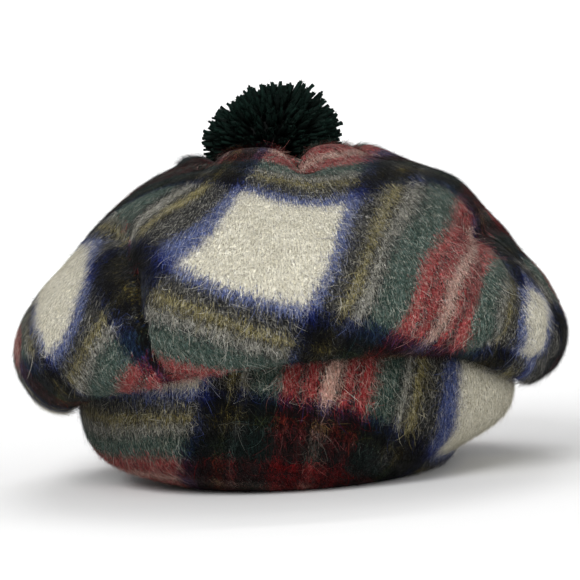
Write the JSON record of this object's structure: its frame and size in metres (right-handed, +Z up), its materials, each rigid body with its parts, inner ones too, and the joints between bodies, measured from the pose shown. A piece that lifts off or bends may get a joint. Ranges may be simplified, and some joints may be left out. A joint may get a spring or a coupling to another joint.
{
  "type": "tam o' shanter hat",
  "caption": "Full soft tam o' shanter in brushed wool tartan: a puffed crown over a rounded under-crown ring with an open head hollow, and a yarn pompom in the gathered top.",
  "frame": {"origin": "on the floor under the middle of the hat, in the plane of the rim's flat hem", "axes": "+Z up through the pompom, -Y towards the hat's front, +X to the right as the front is looked at"},
  "size_m": [0.302, 0.3, 0.2154],
  "materials": {
    "crown_cloth": "brushed wool tartan with a long nap",
    "under_cloth": "brushed wool tartan with a long nap",
    "pompom_yarn": "cut woollen yarn"
  },
  "bodies": {
    "root": {"crown": "crown_cloth", "under_crown": "under_cloth", "pompom": "pompom_yarn"}
  },
  "joints": []
}
